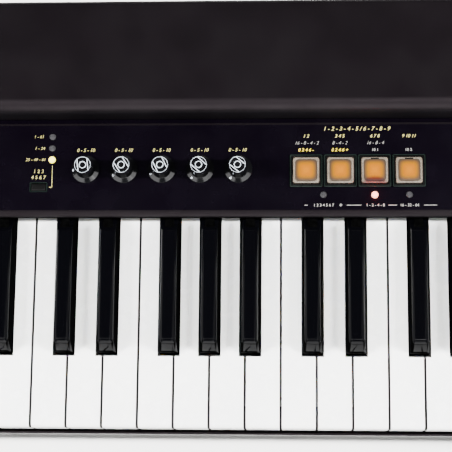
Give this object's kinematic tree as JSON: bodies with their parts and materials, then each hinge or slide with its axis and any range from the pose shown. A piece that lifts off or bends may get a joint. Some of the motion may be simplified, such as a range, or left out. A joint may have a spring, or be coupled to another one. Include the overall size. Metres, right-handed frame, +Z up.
{
  "type": "drawbar organ",
  "caption": "Flat black portable keyboard organ with waterfall keys, sliding drawbars, round tone knobs, square lit buttons and a raised rear hood.",
  "frame": {"origin": "centre of the case's footprint, on the surface that the feet stand on", "axes": "+X towards the treble end, +Y away from the player, +Z up"},
  "size_m": [0.9194, 0.285, 0.0965],
  "materials": {
    "case_paint": "fine textured black powder coat",
    "cheek_paint": "satin black lacquer",
    "zinc_plated_steel": "zinc plated sheet",
    "white_key": "polished moulded plastic",
    "black_key": "polished moulded plastic",
    "knob_black": "semi-gloss moulded plastic",
    "lit_amber": "translucent cap, lit from inside",
    "switch_black": "moulded",
    "circuit_board": "solder-masked board",
    "rubber": "moulded",
    "chrome": "polished",
    "drawbar_brown": "polished moulded plastic",
    "drawbar_white": "polished moulded plastic",
    "drawbar_black": "polished moulded plastic"
  },
  "bodies": {
    "case": {"base_pan": "case_paint", "control_panel": "case_paint", "top_hood": "case_paint", "left_cheek": "cheek_paint", "right_cheek": "cheek_paint", "key_frame": "zinc_plated_steel", "control_board": "circuit_board", "jack_board": "switch_black", "front_foot": "rubber", "rear_foot": "rubber"},
    "low_white_keys": {"low_white_keys": "white_key"},
    "low_black_keys": {"low_black_keys": "black_key"},
    "key_c5": {"key_c5": "white_key"},
    "key_d5": {"key_d5": "white_key"},
    "key_e5": {"key_e5": "white_key"},
    "key_f5": {"key_f5": "white_key"},
    "key_g5": {"key_g5": "white_key"},
    "key_a5": {"key_a5": "white_key"},
    "key_b5": {"key_b5": "white_key"},
    "key_c6": {"key_c6": "white_key"},
    "key_d6": {"key_d6": "white_key"},
    "key_e6": {"key_e6": "white_key"},
    "key_f6": {"key_f6": "white_key"},
    "key_g6": {"key_g6": "white_key"},
    "key_a6": {"key_a6": "white_key"},
    "key_b6": {"key_b6": "white_key"},
    "key_c7": {"key_c7": "white_key"},
    "key_c_sharp5": {"key_c_sharp5": "black_key"},
    "key_d_sharp5": {"key_d_sharp5": "black_key"},
    "key_f_sharp5": {"key_f_sharp5": "black_key"},
    "key_g_sharp5": {"key_g_sharp5": "black_key"},
    "key_a_sharp5": {"key_a_sharp5": "black_key"},
    "key_c_sharp6": {"key_c_sharp6": "black_key"},
    "key_d_sharp6": {"key_d_sharp6": "black_key"},
    "key_f_sharp6": {"key_f_sharp6": "black_key"},
    "key_g_sharp6": {"key_g_sharp6": "black_key"},
    "key_a_sharp6": {"key_a_sharp6": "black_key"},
    "volume_knob": {"volume_knob": "knob_black"},
    "vibrato_knob": {"vibrato_knob": "knob_black"},
    "tone_knob_1": {"tone_knob_1": "knob_black"},
    "tone_knob_2": {"tone_knob_2": "knob_black"},
    "tone_knob_3": {"tone_knob_3": "knob_black"},
    "tone_knob_4": {"tone_knob_4": "knob_black"},
    "tone_knob_5": {"tone_knob_5": "knob_black"},
    "push_button_1": {"push_button_1": "lit_amber"},
    "push_button_2": {"push_button_2": "lit_amber"},
    "push_button_3": {"push_button_3": "lit_amber"},
    "push_button_4": {"push_button_4": "lit_amber"},
    "mode_button": {"mode_button": "switch_black"},
    "rotor_lever": {"rotor_lever": "chrome"},
    "drawbar_1": {"drawbar_1": "drawbar_brown"},
    "drawbar_2": {"drawbar_2": "drawbar_brown"},
    "drawbar_3": {"drawbar_3": "drawbar_white"},
    "drawbar_4": {"drawbar_4": "drawbar_white"},
    "drawbar_5": {"drawbar_5": "drawbar_black"},
    "drawbar_6": {"drawbar_6": "drawbar_white"},
    "drawbar_7": {"drawbar_7": "drawbar_black"},
    "drawbar_8": {"drawbar_8": "drawbar_black"},
    "drawbar_9": {"drawbar_9": "drawbar_white"},
    "power_rocker": {"power_rocker": "switch_black"}
  },
  "joints": [
    {"name": "low_white_keys_press", "type": "hinge", "parent": "case", "child": "low_white_keys", "pos_m": [-0.17625, 0.056, 0.0527], "axis": [1, 0, 0], "range_deg": [0, 2.9], "stiffness_Nm_per_rad": 16.8, "springref_deg": -6.88},
    {"name": "low_black_keys_press", "type": "hinge", "parent": "case", "child": "low_black_keys", "pos_m": [-0.17625, 0.056, 0.0527], "axis": [1, 0, 0], "range_deg": [0, 2.9], "stiffness_Nm_per_rad": 12, "springref_deg": -6.88},
    {"name": "drawbar_1_pull", "type": "slide", "parent": "case", "child": "drawbar_1", "axis": [0, -1, 0], "range_m": [0, 0.044]},
    {"name": "drawbar_2_pull", "type": "slide", "parent": "case", "child": "drawbar_2", "axis": [0, -1, 0], "range_m": [0, 0.044]},
    {"name": "drawbar_3_pull", "type": "slide", "parent": "case", "child": "drawbar_3", "axis": [0, -1, 0], "range_m": [0, 0.044]},
    {"name": "drawbar_4_pull", "type": "slide", "parent": "case", "child": "drawbar_4", "axis": [0, -1, 0], "range_m": [0, 0.044]},
    {"name": "drawbar_5_pull", "type": "slide", "parent": "case", "child": "drawbar_5", "axis": [0, -1, 0], "range_m": [0, 0.044]},
    {"name": "drawbar_6_pull", "type": "slide", "parent": "case", "child": "drawbar_6", "axis": [0, -1, 0], "range_m": [0, 0.044]},
    {"name": "drawbar_7_pull", "type": "slide", "parent": "case", "child": "drawbar_7", "axis": [0, -1, 0], "range_m": [0, 0.044]},
    {"name": "drawbar_8_pull", "type": "slide", "parent": "case", "child": "drawbar_8", "axis": [0, -1, 0], "range_m": [0, 0.044]},
    {"name": "drawbar_9_pull", "type": "slide", "parent": "case", "child": "drawbar_9", "axis": [0, -1, 0], "range_m": [0, 0.044]},
    {"name": "tone_knob_1_turn", "type": "hinge", "parent": "case", "child": "tone_knob_1", "pos_m": [0.1054, 0.0294, 0.074], "axis": [0, 0, -1], "range_deg": [-54, 246]},
    {"name": "tone_knob_2_turn", "type": "hinge", "parent": "case", "child": "tone_knob_2", "pos_m": [0.1308, 0.0294, 0.074], "axis": [0, 0, -1], "range_deg": [-27, 273]},
    {"name": "tone_knob_3_turn", "type": "hinge", "parent": "case", "child": "tone_knob_3", "pos_m": [0.1562, 0.0294, 0.074], "axis": [0, 0, -1], "range_deg": [-34, 266]},
    {"name": "tone_knob_4_turn", "type": "hinge", "parent": "case", "child": "tone_knob_4", "pos_m": [0.1816, 0.0294, 0.074], "axis": [0, 0, -1], "range_deg": [-12, 288]},
    {"name": "tone_knob_5_turn", "type": "hinge", "parent": "case", "child": "tone_knob_5", "pos_m": [0.207, 0.0294, 0.074], "axis": [0, 0, -1], "range_deg": [-9, 291]},
    {"name": "volume_knob_turn", "type": "hinge", "parent": "case", "child": "volume_knob", "pos_m": [-0.39, 0.0294, 0.074], "axis": [0, 0, -1], "range_deg": [-150, 150]},
    {"name": "vibrato_knob_turn", "type": "hinge", "parent": "case", "child": "vibrato_knob", "pos_m": [-0.27, 0.0294, 0.074], "axis": [0, 0, -1], "range_deg": [0, 150]},
    {"name": "push_button_1_press", "type": "slide", "parent": "case", "child": "push_button_1", "axis": [0, 0, -1], "range_m": [0, 0.0015], "stiffness_N_per_m": 300, "springref_m": -0.003},
    {"name": "push_button_2_press", "type": "slide", "parent": "case", "child": "push_button_2", "axis": [0, 0, -1], "range_m": [0, 0.0015], "stiffness_N_per_m": 300, "springref_m": -0.003},
    {"name": "push_button_3_press", "type": "slide", "parent": "case", "child": "push_button_3", "axis": [0, 0, -1], "range_m": [0, 0.0015], "stiffness_N_per_m": 300, "springref_m": -0.003},
    {"name": "push_button_4_press", "type": "slide", "parent": "case", "child": "push_button_4", "axis": [0, 0, -1], "range_m": [0, 0.0015], "stiffness_N_per_m": 300, "springref_m": -0.003},
    {"name": "mode_button_press", "type": "slide", "parent": "case", "child": "mode_button", "axis": [0, 0, -1], "range_m": [0, 0.0008], "stiffness_N_per_m": 400, "springref_m": -0.002},
    {"name": "rotor_lever_rock", "type": "hinge", "parent": "case", "child": "rotor_lever", "pos_m": [-0.33, 0.0294, 0.0705], "axis": [0, 1, 0], "range_deg": [-12, 12]},
    {"name": "power_rocker_rock", "type": "hinge", "parent": "case", "child": "power_rocker", "pos_m": [-0.378, 0.1371, 0.031], "axis": [0, 0, -1], "range_deg": [0, 12]},
    {"name": "key_c5_press", "type": "hinge", "parent": "case", "child": "key_c5", "pos_m": [0.08225, 0.056, 0.0527], "axis": [1, 0, 0], "range_deg": [0, 2.9], "stiffness_Nm_per_rad": 0.8, "springref_deg": -6.88},
    {"name": "key_c_sharp5_press", "type": "hinge", "parent": "case", "child": "key_c_sharp5", "pos_m": [0.0914, 0.056, 0.0527], "axis": [1, 0, 0], "range_deg": [0, 2.9], "stiffness_Nm_per_rad": 0.8, "springref_deg": -6.88},
    {"name": "key_d5_press", "type": "hinge", "parent": "case", "child": "key_d5", "pos_m": [0.10575, 0.056, 0.0527], "axis": [1, 0, 0], "range_deg": [0, 2.9], "stiffness_Nm_per_rad": 0.8, "springref_deg": -6.88},
    {"name": "key_d_sharp5_press", "type": "hinge", "parent": "case", "child": "key_d_sharp5", "pos_m": [0.1201, 0.056, 0.0527], "axis": [1, 0, 0], "range_deg": [0, 2.9], "stiffness_Nm_per_rad": 0.8, "springref_deg": -6.88},
    {"name": "key_e5_press", "type": "hinge", "parent": "case", "child": "key_e5", "pos_m": [0.12925, 0.056, 0.0527], "axis": [1, 0, 0], "range_deg": [0, 2.9], "stiffness_Nm_per_rad": 0.8, "springref_deg": -6.88},
    {"name": "key_f5_press", "type": "hinge", "parent": "case", "child": "key_f5", "pos_m": [0.15275, 0.056, 0.0527], "axis": [1, 0, 0], "range_deg": [0, 2.9], "stiffness_Nm_per_rad": 0.8, "springref_deg": -6.88},
    {"name": "key_f_sharp5_press", "type": "hinge", "parent": "case", "child": "key_f_sharp5", "pos_m": [0.1611, 0.056, 0.0527], "axis": [1, 0, 0], "range_deg": [0, 2.9], "stiffness_Nm_per_rad": 0.8, "springref_deg": -6.88},
    {"name": "key_g5_press", "type": "hinge", "parent": "case", "child": "key_g5", "pos_m": [0.17625, 0.056, 0.0527], "axis": [1, 0, 0], "range_deg": [0, 2.9], "stiffness_Nm_per_rad": 0.8, "springref_deg": -6.88},
    {"name": "key_g_sharp5_press", "type": "hinge", "parent": "case", "child": "key_g_sharp5", "pos_m": [0.188, 0.056, 0.0527], "axis": [1, 0, 0], "range_deg": [0, 2.9], "stiffness_Nm_per_rad": 0.8, "springref_deg": -6.88},
    {"name": "key_a5_press", "type": "hinge", "parent": "case", "child": "key_a5", "pos_m": [0.19975, 0.056, 0.0527], "axis": [1, 0, 0], "range_deg": [0, 2.9], "stiffness_Nm_per_rad": 0.8, "springref_deg": -6.88},
    {"name": "key_a_sharp5_press", "type": "hinge", "parent": "case", "child": "key_a_sharp5", "pos_m": [0.2149, 0.056, 0.0527], "axis": [1, 0, 0], "range_deg": [0, 2.9], "stiffness_Nm_per_rad": 0.8, "springref_deg": -6.88},
    {"name": "key_b5_press", "type": "hinge", "parent": "case", "child": "key_b5", "pos_m": [0.22325, 0.056, 0.0527], "axis": [1, 0, 0], "range_deg": [0, 2.9], "stiffness_Nm_per_rad": 0.8, "springref_deg": -6.88},
    {"name": "key_c6_press", "type": "hinge", "parent": "case", "child": "key_c6", "pos_m": [0.24675, 0.056, 0.0527], "axis": [1, 0, 0], "range_deg": [0, 2.9], "stiffness_Nm_per_rad": 0.8, "springref_deg": -6.88},
    {"name": "key_c_sharp6_press", "type": "hinge", "parent": "case", "child": "key_c_sharp6", "pos_m": [0.2559, 0.056, 0.0527], "axis": [1, 0, 0], "range_deg": [0, 2.9], "stiffness_Nm_per_rad": 0.8, "springref_deg": -6.88},
    {"name": "key_d6_press", "type": "hinge", "parent": "case", "child": "key_d6", "pos_m": [0.27025, 0.056, 0.0527], "axis": [1, 0, 0], "range_deg": [0, 2.9], "stiffness_Nm_per_rad": 0.8, "springref_deg": -6.88},
    {"name": "key_d_sharp6_press", "type": "hinge", "parent": "case", "child": "key_d_sharp6", "pos_m": [0.2846, 0.056, 0.0527], "axis": [1, 0, 0], "range_deg": [0, 2.9], "stiffness_Nm_per_rad": 0.8, "springref_deg": -6.88},
    {"name": "key_e6_press", "type": "hinge", "parent": "case", "child": "key_e6", "pos_m": [0.29375, 0.056, 0.0527], "axis": [1, 0, 0], "range_deg": [0, 2.9], "stiffness_Nm_per_rad": 0.8, "springref_deg": -6.88},
    {"name": "key_f6_press", "type": "hinge", "parent": "case", "child": "key_f6", "pos_m": [0.31725, 0.056, 0.0527], "axis": [1, 0, 0], "range_deg": [0, 2.9], "stiffness_Nm_per_rad": 0.8, "springref_deg": -6.88},
    {"name": "key_f_sharp6_press", "type": "hinge", "parent": "case", "child": "key_f_sharp6", "pos_m": [0.3256, 0.056, 0.0527], "axis": [1, 0, 0], "range_deg": [0, 2.9], "stiffness_Nm_per_rad": 0.8, "springref_deg": -6.88},
    {"name": "key_g6_press", "type": "hinge", "parent": "case", "child": "key_g6", "pos_m": [0.34075, 0.056, 0.0527], "axis": [1, 0, 0], "range_deg": [0, 2.9], "stiffness_Nm_per_rad": 0.8, "springref_deg": -6.88},
    {"name": "key_g_sharp6_press", "type": "hinge", "parent": "case", "child": "key_g_sharp6", "pos_m": [0.3525, 0.056, 0.0527], "axis": [1, 0, 0], "range_deg": [0, 2.9], "stiffness_Nm_per_rad": 0.8, "springref_deg": -6.88},
    {"name": "key_a6_press", "type": "hinge", "parent": "case", "child": "key_a6", "pos_m": [0.36425, 0.056, 0.0527], "axis": [1, 0, 0], "range_deg": [0, 2.9], "stiffness_Nm_per_rad": 0.8, "springref_deg": -6.88},
    {"name": "key_a_sharp6_press", "type": "hinge", "parent": "case", "child": "key_a_sharp6", "pos_m": [0.3794, 0.056, 0.0527], "axis": [1, 0, 0], "range_deg": [0, 2.9], "stiffness_Nm_per_rad": 0.8, "springref_deg": -6.88},
    {"name": "key_b6_press", "type": "hinge", "parent": "case", "child": "key_b6", "pos_m": [0.38775, 0.056, 0.0527], "axis": [1, 0, 0], "range_deg": [0, 2.9], "stiffness_Nm_per_rad": 0.8, "springref_deg": -6.88},
    {"name": "key_c7_press", "type": "hinge", "parent": "case", "child": "key_c7", "pos_m": [0.41125, 0.056, 0.0527], "axis": [1, 0, 0], "range_deg": [0, 2.9], "stiffness_Nm_per_rad": 0.8, "springref_deg": -6.88}
  ]
}
